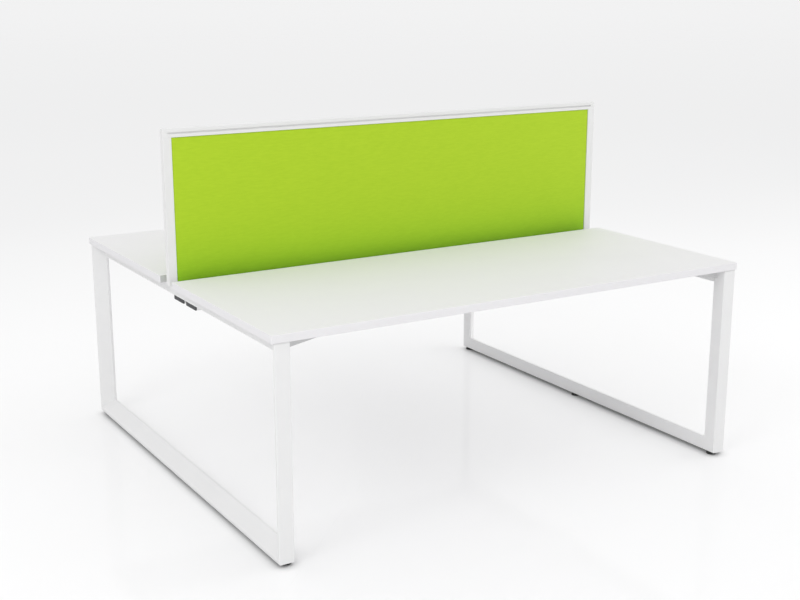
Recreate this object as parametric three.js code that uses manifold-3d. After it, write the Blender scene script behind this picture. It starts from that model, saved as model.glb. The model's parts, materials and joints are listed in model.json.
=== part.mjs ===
// Benching desk for two: worktops face to face on a pair of loop legs, with a fabric screen between them.
// Millimetres, +Z up, +X along the worktops. The origin is on the floor below the middle of the desk.
import * as THREE from "three";
import { mergeVertices } from "three/addons/utils/BufferGeometryUtils.js";
import Module from "manifold-3d";

// Worktops
const topLength = 1800;
const topDepth = 750;
const topThickness = 25;
const topHeight = 710;
const topEdgeRound = 2;
const topCornerRound = 4;
const centreGap = 110;

// Loop legs: bevelled tube for the legs and floor rail, thin at the window; a slimmer tube for the top rail
const tubeSize = 50;
const bevelFlat = 10;
const bevelLip = 9;
const tubeWall = 2;
const tubeRound = 3;
const loopInset = 8;
const railWidth = 20;
const railHeight = 40;
const railWall = 2;
const railRound = 2.5;
const railStep = 6;
const capThickness = 3;
const capPlugDepth = 12;

// Pads between frame and worktop, and the screws that pull them together
const padThickness = 5;
const padLength = 600;
const padInset = 30;
const screwInset = 100;
const screwShank = 5;
const screwHead = 10;
const screwHeadHeight = 3;
const screwBite = 15;

// Levelling feet on threaded bushes
const footHeight = 11;
const footWidth = 34;
const footTopWidth = 26;
const footRim = 4;
const studWidth = 10;
const studLength = 30;
const bushWidth = 18;
const bushLength = 16;
const footInset = 28;
const footOffset = 8;

// Tapered brackets under the worktops beside the legs
const bracketLength = 140;
const bracketDrop = 29.5;
const bracketTip = 4;
const bracketSheet = 3;
const bracketFlange = 30;
const bracketLead = 35;

// Cable channels that tie the two loops together
const channelWidth = 84;
const channelDepth = 67;
const channelSheet = 2;
const channelLip = 8;
const channelSpread = 22;
const channelEndSheet = 4;

// Screen
const screenInset = 8;
const screenRise = 495;
const screenThickness = 24;
const postWidth = 30;
const postWall = 2;
const postRound = 2;
const cornerLength = 18;
const headRailHeight = 29;
const headRailWall = 2.5;
const headRailRound = 2;
const toolSlotRise = 11;
const toolSlotHeight = 5.5;
const toolSlotDepth = 5;
const sillRailHeight = 12;
const sillRailFloor = 3;
const coreThickness = 14;
const coreLap = 6;
const fabricThickness = 3;
const saddleLength = 60;
const saddleFin = 30;
const saddleInset = 180;

// Clearances and the fineness of round shapes
const fitGap = 0.3;
const boreRoundLeast = 0.5;
const roundSteps = 6;
const edgeSteps = 2;
const turnSteps = 20;
const drillSteps = 12;
const mergeTolerance = 1e-4;
const cutReach = 5;

// Levels and planes that several pieces share
const topUnder = topHeight - topThickness;
const frameTop = topUnder - padThickness;
const deskDepth = 2 * topDepth + centreGap;
const loopOuter = topLength / 2 - loopInset;
const loopInner = loopOuter - tubeSize;
const loopMiddle = loopOuter - tubeSize / 2;
const footLine = loopMiddle - footOffset;
const legTop = topUnder - capThickness;
const legMiddle = deskDepth / 2 - tubeSize / 2;
const floorRailMiddle = footHeight + tubeSize / 2;
const railLength = deskDepth - 2 * tubeSize;
const railInner = loopInner - railStep;
const railMiddle = railInner + railWidth / 2;
const channelMiddle = channelSpread / 2 + channelWidth / 2;
const screenLength = topLength - 2 * screenInset;
const screenTop = topHeight + screenRise;
const headRailFoot = screenTop - headRailHeight;
const postMiddle = screenLength / 2 - postWidth / 2;
const panelLength = screenLength - 2 * postWidth;
const headRailLength = screenLength - 2 * cornerLength;

const sides = { left: -1, right: 1 };
const rows = { near: -1, far: 1 };

// Finishes
const whiteBoard = { color: 0xf0f0ee, roughness: 0.45, metalness: 0 };
const whitePaint = { color: 0xf2f2f2, roughness: 0.4, metalness: 0 };
const greyPaint = { color: 0xd7d7d7, roughness: 0.4, metalness: 0 };
const darkPaint = { color: 0x3c3d3f, roughness: 0.55, metalness: 0 };
const blackPlastic = { color: 0x101010, roughness: 0.6, metalness: 0 };
const greyPlastic = { color: 0xd9d9d9, roughness: 0.55, metalness: 0 };
const brightSteel = { color: 0xb8babd, roughness: 0.35, metalness: 1 };
const coreBoard = { color: 0xb99b6b, roughness: 0.9, metalness: 0 };
const limeFabric = { color: 0x9fce1c, roughness: 0.95, metalness: 0 };

// Exact quarter turns: a shape's own x, y and extrusion direction become the axes named here
const axisX = new THREE.Vector3(1, 0, 0);
const axisY = new THREE.Vector3(0, 1, 0);
const axisZ = new THREE.Vector3(0, 0, 1);
const alongX = new THREE.Matrix4().makeBasis(axisY, axisZ, axisX);
const alongY = new THREE.Matrix4().makeBasis(axisX, axisZ, axisY.clone().negate());

const wasm = await Module();
wasm.setup();

// A closed geometry as a solid that can be joined and cut
function solidOf(geometry) {
  const bare = geometry.clone();
  bare.deleteAttribute("normal");
  bare.deleteAttribute("uv");
  const merged = mergeVertices(bare, mergeTolerance);
  const vertProperties = merged.getAttribute("position").array;
  const triVerts = new Uint32Array(merged.index.array);
  return new wasm.Manifold(new wasm.Mesh({ numProp: 3, vertProperties, triVerts }));
}

function geometryOf(solid) {
  const mesh = solid.getMesh();
  const geometry = new THREE.BufferGeometry();
  geometry.setAttribute("position", new THREE.BufferAttribute(mesh.vertProperties, 3));
  geometry.setIndex(new THREE.BufferAttribute(mesh.triVerts, 1));
  geometry.computeVertexNormals();
  return geometry;
}

function joined(...geometries) {
  const solids = geometries.map(solidOf);
  return geometryOf(solids.reduce((whole, piece) => whole.add(piece)));
}

function cut(geometry, ...cutters) {
  const solid = solidOf(geometry);
  return geometryOf(cutters.map(solidOf).reduce((rest, cutter) => rest.subtract(cutter), solid));
}

function polygon(points) {
  return new THREE.Shape(points.map(([x, y]) => new THREE.Vector2(x, y)));
}

// What an outline's corner is made of: directions to its neighbours, half its angle and the way inward
function cornerOf(points, i) {
  const corner = new THREE.Vector2(...points[i]);
  const count = points.length;
  const back = new THREE.Vector2(...points[(i + count - 1) % count]).sub(corner).normalize();
  const ahead = new THREE.Vector2(...points[(i + 1) % count]).sub(corner).normalize();
  const half = Math.acos(back.dot(ahead)) / 2;
  return { corner, back, ahead, half, inward: back.clone().add(ahead).normalize() };
}

// An outline drawn in by the same distance along all its edges
function drawnIn(points, distance) {
  return points.map((_, i) => {
    const { corner, inward, half } = cornerOf(points, i);
    return corner.addScaledVector(inward, distance / Math.sin(half)).toArray();
  });
}

// An outline with every corner rounded
function roundedPolygon(points, round, Kind = THREE.Shape) {
  const outline = new Kind();
  points.forEach((_, i) => {
    const { corner, back, ahead, half } = cornerOf(points, i);
    const reach = round / Math.tan(half);
    const start = corner.clone().addScaledVector(back, reach);
    const end = corner.clone().addScaledVector(ahead, reach);
    if (i === 0) {
      outline.moveTo(start.x, start.y);
    } else {
      outline.lineTo(start.x, start.y);
    }
    outline.quadraticCurveTo(corner.x, corner.y, end.x, end.y);
  });
  outline.closePath();
  return outline;
}

function extruded(shape, depth) {
  return new THREE.ExtrudeGeometry(shape, { depth, bevelEnabled: false, curveSegments: roundSteps });
}

function rectangle(width, height) {
  const x = width / 2;
  const y = height / 2;
  return [[x, y], [-x, y], [-x, -y], [x, -y]];
}

// A tube that runs from 0 to its length, open at both ends
function tube(points, wall, round, length) {
  const section = roundedPolygon(points, round);
  const boreRound = Math.max(round - wall, boreRoundLeast);
  section.holes.push(roundedPolygon(drawnIn(points, wall).reverse(), boreRound, THREE.Path));
  return extruded(section, length);
}

// The loops' section: full faces inside and on the rim, bevelled outside down to a lip at the window;
// outward and rimward say which way the section's x and y run
function loopSection(outward, rimward) {
  const half = tubeSize / 2;
  const section = [
    [-half, half],
    [half, half],
    [half, half - bevelFlat],
    [bevelLip - half, -half],
    [-half, -half],
  ];
  return section.map(([x, y]) => [outward * x, rimward * y]);
}

// Slides each end point of an extrusion along its length by what shiftOf says for its place in the section
function slant(geometry, atEnd, shiftOf) {
  const points = geometry.getAttribute("position");
  for (let i = 0; i < points.count; i += 1) {
    if (atEnd(points.getZ(i))) {
      points.setZ(i, points.getZ(i) + shiftOf(points.getY(i)));
    }
  }
  return geometry;
}

// A solid of revolution about +Z from a profile of radius and height
function turned(profile, steps = turnSteps) {
  const points = profile.map(([radius, height]) => new THREE.Vector2(radius, height));
  return new THREE.LatheGeometry(points, steps).applyMatrix4(alongY);
}

// An upright round cutter between two heights
function drill(width, low, high, x, y, steps = drillSteps) {
  const radius = width / 2;
  const bit = turned([[0, low], [radius, low], [radius, high], [0, high]], steps);
  return bit.translate(x, y, 0);
}

function block(width, depth, height, x, y, z) {
  return new THREE.BoxGeometry(width, depth, height).translate(x, y, z);
}

const desk = new THREE.Group();

function addPart(name, geometry, finish, x = 0, y = 0, z = 0) {
  const mesh = new THREE.Mesh(geometry, new THREE.MeshStandardMaterial(finish));
  mesh.name = name;
  mesh.position.set(x, y, z);
  desk.add(mesh);
}

// The screws' clearance holes, and distances from the desk's middle line to the two screws of one pad
const screwHole = screwShank + 2 * fitGap;
const padMiddle = railLength / 2 - padInset - padLength / 2;
const screwRows = [padMiddle - padLength / 2 + screwInset, padMiddle + padLength / 2 - screwInset];

// A board with softened edges and blind holes for the screws from below
function worktop(row) {
  const boardMiddle = row * (centreGap / 2 + topDepth / 2);
  const board = new THREE.ExtrudeGeometry(roundedPolygon(rectangle(topLength, topDepth), topCornerRound), {
    depth: topThickness - 2 * topEdgeRound,
    bevelThickness: topEdgeRound,
    bevelSize: topEdgeRound,
    bevelOffset: -topEdgeRound,
    bevelSegments: edgeSteps,
    curveSegments: roundSteps,
  });
  board.translate(0, boardMiddle, topUnder + topEdgeRound);
  const pilotTop = topUnder + screwBite + fitGap;
  const pilots = Object.values(sides).flatMap((side) =>
    screwRows.map((y) => drill(screwHole, topUnder - cutReach, pilotTop, side * railMiddle, row * y)),
  );
  return cut(board, ...pilots);
}

for (const [rowName, row] of Object.entries(rows)) {
  addPart(`worktop_${rowName}`, worktop(row), whiteBoard);
}

// A leg mitred to the floor rail at its foot
function leg(side, row) {
  const upright = tube(loopSection(side, row), tubeWall, tubeRound, legTop - footHeight);
  return slant(
    upright,
    (z) => z === 0,
    (y) => tubeSize / 2 - row * y + fitGap,
  );
}

// Adds a plug below a piece that closes a tube's end; the plug grips inside the tube
function plugged(piece, points, height, wall) {
  const plugLength = capPlugDepth + height / 2;
  const plug = extruded(polygon(drawnIn(points, wall + fitGap)), plugLength);
  return joined(piece, plug.translate(0, 0, height / 2 - plugLength));
}

// A leg's cap, which bears on the worktop
function legCap(side, row) {
  const section = loopSection(side, row);
  const plate = extruded(roundedPolygon(section, tubeRound), capThickness);
  return plugged(plate, section, capThickness, tubeWall);
}

const footRows = { near: -(deskDepth / 2 - footInset), middle: 0, far: deskDepth / 2 - footInset };

// The floor rail: mitred ends and a hole below each bush
function floorRail(side) {
  const rail = tube(loopSection(side, -1), tubeWall, tubeRound, deskDepth);
  slant(
    rail,
    (z) => z === 0,
    (y) => tubeSize / 2 + y,
  );
  slant(
    rail,
    (z) => z === deskDepth,
    (y) => -(tubeSize / 2 + y),
  );
  rail.translate(0, 0, -deskDepth / 2).applyMatrix4(alongY);
  const wallLow = -tubeSize / 2;
  const wallHigh = wallLow + tubeWall;
  const bushHole = bushWidth + 2 * fitGap;
  const holes = Object.values(footRows).map((y) =>
    drill(bushHole, wallLow - cutReach, wallHigh + cutReach, -side * footOffset, y, turnSteps),
  );
  return cut(rail, ...holes);
}

// The top rail: screw holes through both walls
function topRail() {
  const rail = tube(rectangle(railWidth, railHeight), railWall, railRound, railLength);
  rail.translate(0, 0, -railLength / 2).applyMatrix4(alongY);
  const reach = railHeight / 2 + cutReach;
  const holes = Object.values(rows).flatMap((row) =>
    screwRows.map((y) => drill(screwHole, -reach, reach, 0, row * y)),
  );
  return cut(rail, ...holes);
}

for (const [sideName, side] of Object.entries(sides)) {
  for (const [rowName, row] of Object.entries(rows)) {
    const place = `${sideName}_${rowName}`;
    const legX = side * loopMiddle;
    const legY = row * legMiddle;
    addPart(`leg_${place}`, leg(side, row), whitePaint, legX, legY, footHeight);
    addPart(`leg_cap_${place}`, legCap(side, row), greyPlastic, legX, legY, legTop);
  }
  addPart(`floor_rail_${sideName}`, floorRail(side), whitePaint, side * loopMiddle, 0, floorRailMiddle);
  addPart(`top_rail_${sideName}`, topRail(), whitePaint, side * railMiddle, 0, frameTop - railHeight / 2);
}

// A foot: a tapered pad on a threaded stud, screwed right in at rest
function levellingFoot() {
  const padTop = footHeight - fitGap;
  return turned([
    [0, 0],
    [footWidth / 2, 0],
    [footWidth / 2, footRim],
    [footTopWidth / 2, padTop],
    [studWidth / 2, padTop],
    [studWidth / 2, padTop + studLength],
    [0, padTop + studLength],
  ]);
}

// The bush that a foot's stud turns in, set in the floor rail's lower wall
function footBush() {
  const outer = bushWidth / 2;
  const bore = studWidth / 2 + fitGap;
  return turned([[bore, 0], [outer, 0], [outer, bushLength], [bore, bushLength], [bore, 0]]);
}

for (const [sideName, side] of Object.entries(sides)) {
  for (const [rowName, y] of Object.entries(footRows)) {
    addPart(`foot_${sideName}_${rowName}`, levellingFoot(), blackPlastic, side * footLine, y, 0);
    addPart(`foot_bush_${sideName}_${rowName}`, footBush(), brightSteel, side * footLine, y, footHeight);
  }
}

// A strip between the top rail and a worktop, drilled for its screws
function railPad(row) {
  const strip = block(railWidth, padLength, padThickness, 0, row * padMiddle, padThickness / 2);
  const holes = screwRows.map((y) => drill(screwHole, -cutReach, padThickness + cutReach, 0, row * y));
  return cut(strip, ...holes);
}

// A screw from below the top rail up into the worktop
function worktopScrew() {
  const shankTop = railHeight + padThickness + screwBite;
  const profile = [
    [0, -screwHeadHeight],
    [screwHead / 2, -screwHeadHeight],
    [screwHead / 2, 0],
    [screwShank / 2, 0],
    [screwShank / 2, shankTop],
    [0, shankTop],
  ];
  return turned(profile, drillSteps);
}

for (const [sideName, side] of Object.entries(sides)) {
  for (const [rowName, row] of Object.entries(rows)) {
    const place = `${sideName}_${rowName}`;
    addPart(`rail_pad_${place}`, railPad(row), blackPlastic, side * railMiddle, 0, frameTop);
    screwRows.forEach((y, i) => {
      const name = `worktop_screw_${place}_${i + 1}`;
      addPart(name, worktopScrew(), brightSteel, side * railMiddle, row * y, frameTop - railHeight);
    });
  }
}

// A bracket whose web tapers away from the leg, with a flange under the worktop
function taperedBracket(side, row) {
  const inward = (distance) => side * (loopInner - distance);
  const web = extruded(
    polygon([
      [inward(0), topUnder],
      [inward(0), topUnder - bracketDrop],
      [inward(bracketLength), topUnder - bracketTip],
      [inward(bracketLength), topUnder],
    ]),
    bracketSheet,
  );
  const front = deskDepth / 2 - bracketLead;
  web.applyMatrix4(alongY).translate(0, row * (front - bracketSheet / 2) + bracketSheet / 2, 0);
  const flangeMiddle = row * (front - bracketFlange / 2);
  const flange = block(
    bracketLength,
    bracketFlange,
    bracketSheet,
    inward(bracketLength / 2),
    flangeMiddle,
    topUnder - bracketSheet / 2,
  );
  return joined(web, flange);
}

for (const [sideName, side] of Object.entries(sides)) {
  for (const [rowName, row] of Object.entries(rows)) {
    addPart(`bracket_${sideName}_${rowName}`, taperedBracket(side, row), greyPaint);
  }
}

const channelLength = 2 * (railInner - channelEndSheet);
const channelFloor = frameTop - channelDepth;

// A folded channel, open above; its outer wall rises to carry the worktop's inner edge
function cableChannel(row) {
  const half = channelWidth / 2;
  const inner = half - channelSheet;
  const lipEdge = half - channelLip;
  const outerTop = topUnder - channelFloor;
  const section = [
    [-half, 0],
    [half, 0],
    [half, outerTop],
    [lipEdge, outerTop],
    [lipEdge, outerTop - channelSheet],
    [inner, outerTop - channelSheet],
    [inner, channelSheet],
    [-inner, channelSheet],
    [-inner, channelDepth - channelSheet],
    [-lipEdge, channelDepth - channelSheet],
    [-lipEdge, channelDepth],
    [-half, channelDepth],
  ];
  const trough = extruded(polygon(section.map(([y, z]) => [row * y, z])), channelLength);
  return trough.translate(0, 0, -channelLength / 2).applyMatrix4(alongX);
}

for (const [rowName, row] of Object.entries(rows)) {
  addPart(`cable_channel_${rowName}`, cableChannel(row), whitePaint, 0, row * channelMiddle, channelFloor);
  for (const [sideName, side] of Object.entries(sides)) {
    const plate = block(channelEndSheet, channelWidth, channelDepth, 0, 0, channelDepth / 2);
    const plateX = side * (railInner - channelEndSheet / 2);
    const name = `channel_end_${sideName}_${rowName}`;
    addPart(name, plate, darkPaint, plateX, row * channelMiddle, channelFloor);
  }
}

// A saddle that bridges the two channels: the screen stands on its plate, and its fin drops between them
function screenSaddle() {
  const plateHalf = channelSpread / 2 + channelLip;
  const finHalf = channelSpread / 2 - fitGap;
  const section = polygon([
    [-plateHalf, padThickness],
    [-plateHalf, 0],
    [-finHalf, 0],
    [-finHalf, -saddleFin],
    [finHalf, -saddleFin],
    [finHalf, 0],
    [plateHalf, 0],
    [plateHalf, padThickness],
  ]);
  return extruded(section, saddleLength).translate(0, 0, -saddleLength / 2).applyMatrix4(alongX);
}

const saddleReach = panelLength / 2 - saddleInset;
const saddlePlaces = { left: -saddleReach, middle: 0, right: saddleReach };
for (const [placeName, x] of Object.entries(saddlePlaces)) {
  addPart(`screen_saddle_${placeName}`, screenSaddle(), darkPaint, x, 0, frameTop);
}

// A corner cap: it carries the head rail's outline on to the screen's end and plugs into the post below
function cornerCap() {
  const half = screenThickness / 2;
  const section = polygon([
    [-half, 0],
    [half, 0],
    [half, headRailHeight - headRailRound],
    [half - headRailRound, headRailHeight],
    [headRailRound - half, headRailHeight],
    [-half, headRailHeight - headRailRound],
  ]);
  const corner = extruded(section, cornerLength).translate(0, 0, -cornerLength / 2).applyMatrix4(alongX);
  return plugged(corner, rectangle(cornerLength, screenThickness), headRailHeight, postWall);
}

// The screen's two posts, each under the head rail's end and a corner cap
const cornerMiddle = screenLength / 2 - cornerLength / 2;
for (const [sideName, side] of Object.entries(sides)) {
  const post = tube(rectangle(postWidth, screenThickness), postWall, postRound, headRailFoot - topUnder);
  addPart(`screen_post_${sideName}`, post, whitePaint, side * postMiddle, 0, topUnder);
  addPart(`screen_post_cap_${sideName}`, cornerCap(), whitePaint, side * cornerMiddle, 0, headRailFoot);
}

// The rail along the screen's top: a tool slot in each face, a groove below for the core, hollow above
function headRail() {
  const half = screenThickness / 2;
  const slotFloor = half - toolSlotDepth;
  const slotTop = toolSlotRise + toolSlotHeight;
  const groove = coreThickness / 2 + fitGap;
  const section = polygon([
    [-half, 0],
    [-groove, 0],
    [-groove, coreLap],
    [groove, coreLap],
    [groove, 0],
    [half, 0],
    [half, toolSlotRise],
    [slotFloor, toolSlotRise],
    [slotFloor, slotTop],
    [half, slotTop],
    [half, headRailHeight - headRailRound],
    [half - headRailRound, headRailHeight],
    [headRailRound - half, headRailHeight],
    [-half, headRailHeight - headRailRound],
    [-half, slotTop],
    [-slotFloor, slotTop],
    [-slotFloor, toolSlotRise],
    [-half, toolSlotRise],
  ]);
  const boreHalf = half - headRailWall;
  const boreLow = slotTop + headRailWall;
  const boreHigh = headRailHeight - headRailWall;
  const bore = [[-boreHalf, boreLow], [-boreHalf, boreHigh], [boreHalf, boreHigh], [boreHalf, boreLow]];
  section.holes.push(new THREE.Path(bore.map(([y, z]) => new THREE.Vector2(y, z))));
  return extruded(section, headRailLength).translate(0, 0, -headRailLength / 2).applyMatrix4(alongX);
}

// The rail along the screen's foot, grooved for the core
function sillRail() {
  const half = screenThickness / 2;
  const groove = coreThickness / 2 + fitGap;
  const section = polygon([
    [-half, 0],
    [half, 0],
    [half, sillRailHeight],
    [groove, sillRailHeight],
    [groove, sillRailFloor],
    [-groove, sillRailFloor],
    [-groove, sillRailHeight],
    [-half, sillRailHeight],
  ]);
  return extruded(section, panelLength).translate(0, 0, -panelLength / 2).applyMatrix4(alongX);
}

const sillRailTop = topUnder + sillRailHeight;
addPart("screen_head_rail", headRail(), whitePaint, 0, 0, headRailFoot);
addPart("screen_sill_rail", sillRail(), whitePaint, 0, 0, topUnder);

// The board inside the screen, and the padded fabric face on each side of it
const coreLow = topUnder + sillRailFloor;
const coreHigh = headRailFoot + coreLap - fitGap;
const coreLength = panelLength - 2 * fitGap;
const core = block(coreLength, coreThickness, coreHigh - coreLow, 0, 0, (coreLow + coreHigh) / 2);
addPart("screen_core", core, coreBoard);
const fabricLow = sillRailTop + fitGap;
const fabricHigh = headRailFoot - fitGap;
const fabricMiddle = (fabricLow + fabricHigh) / 2;
for (const [faceName, row] of Object.entries(rows)) {
  const faceY = row * (coreThickness / 2 + fabricThickness / 2);
  const face = block(coreLength, fabricThickness, fabricHigh - fabricLow, 0, faceY, fabricMiddle);
  addPart(`screen_fabric_${faceName}`, face, limeFabric);
}

export default desk;
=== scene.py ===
import json
import math
import bmesh
import bpy
import numpy as np
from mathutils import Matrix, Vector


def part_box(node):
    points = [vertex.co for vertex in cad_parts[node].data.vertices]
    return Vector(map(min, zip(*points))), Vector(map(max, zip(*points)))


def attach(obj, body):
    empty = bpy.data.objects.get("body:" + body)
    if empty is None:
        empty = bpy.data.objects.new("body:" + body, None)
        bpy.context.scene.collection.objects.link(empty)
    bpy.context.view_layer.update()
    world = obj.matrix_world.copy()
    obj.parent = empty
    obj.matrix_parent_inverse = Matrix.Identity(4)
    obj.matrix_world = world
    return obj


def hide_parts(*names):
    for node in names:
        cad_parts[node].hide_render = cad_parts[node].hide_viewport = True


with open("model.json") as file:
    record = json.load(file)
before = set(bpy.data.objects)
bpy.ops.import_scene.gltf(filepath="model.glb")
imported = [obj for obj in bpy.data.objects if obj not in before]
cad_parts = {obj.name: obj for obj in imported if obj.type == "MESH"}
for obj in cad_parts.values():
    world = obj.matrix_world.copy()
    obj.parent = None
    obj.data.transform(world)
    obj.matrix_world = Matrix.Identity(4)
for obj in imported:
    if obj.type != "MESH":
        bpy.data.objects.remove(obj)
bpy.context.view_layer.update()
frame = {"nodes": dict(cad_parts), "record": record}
nodes = frame["nodes"]
print("frame loaded:", len(nodes), "nodes")

mm = 0.001
sides = {"left": -1, "right": 1}
rows = {"near": -1, "far": 1}
body = "frame"  # everything but the levelling feet rides on it


def boxOf(node):
    low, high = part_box(node)
    return np.array(low), np.array(high)


# camera: the photograph's own view, 800 pixels wide
cameraView = dict(place=(-2.352, -3.8886, 1.6816), yaw=0.54547, pitch=-0.25057, focalPixels=1266.6, imageWidth=800)


def placeCamera(view):
    data = bpy.data.cameras.new("photoCamera")
    data.sensor_width = 36.0
    data.lens = view["focalPixels"] * data.sensor_width / view["imageWidth"]
    data.clip_end = 400.0
    camera = bpy.data.objects.new("photoCamera", data)
    camera.location = view["place"]
    camera.rotation_euler = (math.pi / 2 + view["pitch"], 0.0, -view["yaw"])
    bpy.context.scene.collection.objects.link(camera)
    bpy.context.scene.camera = camera


placeCamera(cameraView)
bpy.context.scene.view_settings.view_transform = "Standard"
print("camera placed")


# adds a shader node; inputs are sockets to link or plain values
def addNode(tree, kind, inputs=None, **settings):
    made = tree.nodes.new(kind)
    for key, value in settings.items():
        setattr(made, key, value)
    for key, value in (inputs or {}).items():
        if isinstance(value, bpy.types.NodeSocket):
            tree.links.new(value, made.inputs[key])
        else:
            made.inputs[key].default_value = value
    return made


def mathNode(tree, operation, first, second=0.0, third=0.0):
    made = addNode(tree, "ShaderNodeMath", {0: first, 1: second, 2: third}, operation=operation)
    return made.outputs[0]


def mixColour(tree, factor, first, second, blend="MIX"):
    made = addNode(tree, "ShaderNodeMix", data_type="RGBA", blend_type=blend)
    for key, value in ((0, factor), (6, first), (7, second)):
        if isinstance(value, bpy.types.NodeSocket):
            tree.links.new(value, made.inputs[key])
        else:
            made.inputs[key].default_value = value
    return made.outputs[2]


def spread(tree, value, low, high):  # a 0 to 1 value spread over a range
    made = addNode(tree, "ShaderNodeMapRange", {"Value": value, "To Min": low, "To Max": high})
    return made.outputs[0]


def newGroup(name, inputs, outputs):
    tree = bpy.data.node_groups.new(name, "ShaderNodeTree")
    for socket, kind, value in inputs:
        made = tree.interface.new_socket(socket, in_out="INPUT", socket_type=kind)
        if value is not None:
            made.default_value = value
    for socket, kind in outputs:
        tree.interface.new_socket(socket, in_out="OUTPUT", socket_type=kind)
    return tree, tree.nodes.new("NodeGroupInput").outputs, tree.nodes.new("NodeGroupOutput").inputs


number = "NodeSocketFloat"
vector = "NodeSocketVector"


# fine pitted skin: coarse and fine noise added as a height from 0 to 1
def skinGroup():
    tree, given, out = newGroup("fineSkin", [("Place", vector, None), ("Grain", number, 900.0)], [("Height", number)])
    coarse = addNode(tree, "ShaderNodeTexNoise", {"Vector": given["Place"], "Scale": given["Grain"], "Detail": 2.0})
    fineScale = mathNode(tree, "MULTIPLY", given["Grain"], 3.7)
    fine = addNode(tree, "ShaderNodeTexNoise", {"Vector": given["Place"], "Scale": fineScale, "Detail": 1.0})
    total = mathNode(tree, "MULTIPLY_ADD", fine.outputs["Fac"], 0.35, coarse.outputs["Fac"])
    tree.links.new(total, out["Height"])
    return tree


# handling: cloudy patches from 0 to 1 that dull or brighten a finish a little
def handlingGroup():
    tree, given, out = newGroup("handling", [("Place", vector, None), ("Size", number, 5.0)], [("Patch", number)])
    cloud = addNode(tree, "ShaderNodeTexNoise",
                    {"Vector": given["Place"], "Scale": given["Size"], "Detail": 5.0, "Roughness": 0.6, "Distortion": 0.4})
    patch = addNode(tree, "ShaderNodeMapRange", {"Value": cloud.outputs["Fac"], "From Min": 0.3, "From Max": 0.7})
    tree.links.new(patch.outputs[0], out["Patch"])
    return tree


# ribbed cloth: flat weft ribs along X, crossed by fine warp threads, with slubs that run along the ribs
def clothGroup():
    tree, given, out = newGroup(
        "ribbedCloth",
        [("Place", vector, None), ("Rib", number, 0.0035), ("Warp", number, 0.0016)],
        [("Height", number), ("Slub", number), ("Fleck", number)])
    split = addNode(tree, "ShaderNodeSeparateXYZ", {"Vector": given["Place"]})
    sway = addNode(tree, "ShaderNodeTexNoise", {"Vector": given["Place"], "Scale": 45.0, "Detail": 1.0})
    height = mathNode(tree, "MULTIPLY_ADD", sway.outputs["Fac"], 0.0007, split.outputs["Z"])
    ribTurn = mathNode(tree, "DIVIDE", height, given["Rib"])
    ribWave = mathNode(tree, "SINE", mathNode(tree, "MULTIPLY", ribTurn, 2 * math.pi))
    ribIndex = mathNode(tree, "FLOOR", ribTurn)
    stagger = mathNode(tree, "MULTIPLY", ribIndex, math.pi)
    warpTurn = mathNode(tree, "DIVIDE", split.outputs["X"], given["Warp"])
    warpWave = mathNode(tree, "SINE", mathNode(tree, "MULTIPLY_ADD", warpTurn, 2 * math.pi, stagger))
    waves = mathNode(tree, "MULTIPLY_ADD", warpWave, 0.35, ribWave)
    tree.links.new(mathNode(tree, "MULTIPLY_ADD", waves, 0.37, 0.5), out["Height"])
    along = addNode(tree, "ShaderNodeMapping", {"Vector": given["Place"], "Scale": (34.0, 34.0, 240.0)})
    slub = addNode(tree, "ShaderNodeTexNoise", {"Vector": along.outputs[0], "Scale": 1.0, "Detail": 3.0})
    slubSpread = addNode(tree, "ShaderNodeMapRange", {"Value": slub.outputs["Fac"], "From Min": 0.32, "From Max": 0.68})
    tree.links.new(slubSpread.outputs[0], out["Slub"])
    fleck = addNode(tree, "ShaderNodeTexNoise", {"Vector": given["Place"], "Scale": 800.0, "Detail": 2.0})
    tree.links.new(fleck.outputs["Fac"], out["Fleck"])
    return tree


groups = {"skin": skinGroup(), "handling": handlingGroup(), "cloth": clothGroup()}


def useGroup(tree, name, **inputs):
    made = tree.nodes.new("ShaderNodeGroup")
    made.node_tree = groups[name]
    for key, value in inputs.items():
        if isinstance(value, bpy.types.NodeSocket):
            tree.links.new(value, made.inputs[key])
        else:
            made.inputs[key].default_value = value
    return made.outputs


def newMaterial(name):
    material = bpy.data.materials.new(name)
    material.use_nodes = True
    tree = material.node_tree
    shader = tree.nodes["Principled BSDF"]
    place = tree.nodes.new("ShaderNodeTexCoord").outputs["Object"]
    return material, tree, shader, place


def rgba(colour):
    return (*colour, 1.0)


def bumpInto(tree, shader, height, depth):
    bump = addNode(tree, "ShaderNodeBump", {"Height": height, "Strength": 1.0, "Distance": depth})
    tree.links.new(bump.outputs["Normal"], shader.inputs["Normal"])


# a hard skin: one colour in two close tones, patchy gloss, fine grain in relief
def hardFinish(name, look):
    material, tree, shader, place = newMaterial(name)
    patch = useGroup(tree, "handling", Place=place, Size=look["patchSize"])["Patch"]
    tones = mixColour(tree, patch, rgba(look["colour"]), rgba(look["shade"]))
    tree.links.new(tones, shader.inputs["Base Color"])
    tree.links.new(spread(tree, patch, *look["rough"]), shader.inputs["Roughness"])
    shader.inputs["Metallic"].default_value = look.get("metal", 0.0)
    shader.inputs["Specular IOR Level"].default_value = look.get("specular", 0.5)
    bumpInto(tree, shader, useGroup(tree, "skin", Place=place, Grain=look["grain"])["Height"], look["relief"])
    return material


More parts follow.
